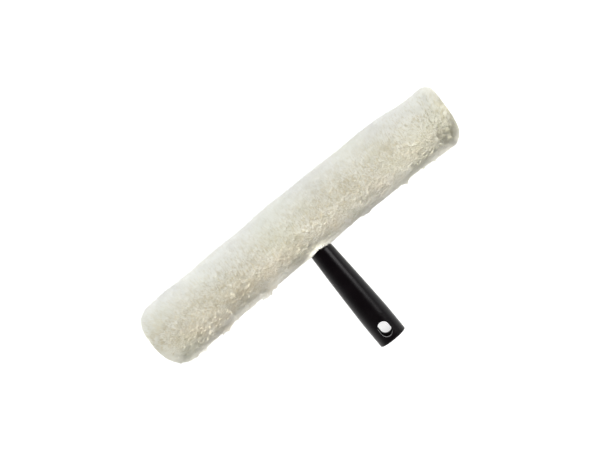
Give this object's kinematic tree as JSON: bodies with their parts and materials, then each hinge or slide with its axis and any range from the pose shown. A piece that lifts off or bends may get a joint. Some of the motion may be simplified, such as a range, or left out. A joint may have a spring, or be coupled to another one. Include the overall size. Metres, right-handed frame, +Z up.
{
  "type": "washer applicator",
  "caption": "T-bar washer applicator with a removable fleece sleeve closed by a hook-and-loop flap, and a tapered hollow handle with a pole socket and a hanging slot.",
  "frame": {"origin": "centre of the bounding box in plan, on the surface that it lies on", "axes": "+X along the roll, -Y the way the handle points, +Z up; the handle dips until its tip touches the surface"},
  "size_m": [0.355, 0.173, 0.065],
  "materials": {
    "bar_metal": "satin",
    "cap_plastic": "matte",
    "grip_plastic": "satin",
    "fastener_steel": "satin",
    "fleece": "matte",
    "backing_cloth": "matte",
    "binding_tape": "matte",
    "loop_fabric": "matte",
    "hook_nylon": "satin"
  },
  "bodies": {
    "root": {"crossbar_tube": "bar_metal", "end_cap_left": "cap_plastic", "end_cap_right": "cap_plastic", "tee_head": "cap_plastic", "saddle_cap": "cap_plastic", "saddle_screws": "fastener_steel", "saddle_nuts": "fastener_steel", "grip_pin": "fastener_steel", "handle_grip": "grip_plastic", "sleeve_backing": "backing_cloth", "sleeve_pile": "fleece", "end_panel_left": "fleece", "end_panel_right": "fleece", "opening_binding": "binding_tape", "underlap_strip": "backing_cloth", "loop_tape": "loop_fabric", "fold_pile": "fleece"},
    "closure_flap": {"flap_backing": "backing_cloth", "flap_pile": "fleece", "hook_tape": "hook_nylon"}
  },
  "joints": [
    {"name": "closure_flap_hinge", "type": "hinge", "parent": "root", "child": "closure_flap", "pos_m": [0.091, 0.03569, 0.0425], "axis": [-1, 0, 0], "range_deg": [0, 90], "deforming": ["fold_pile"]}
  ]
}
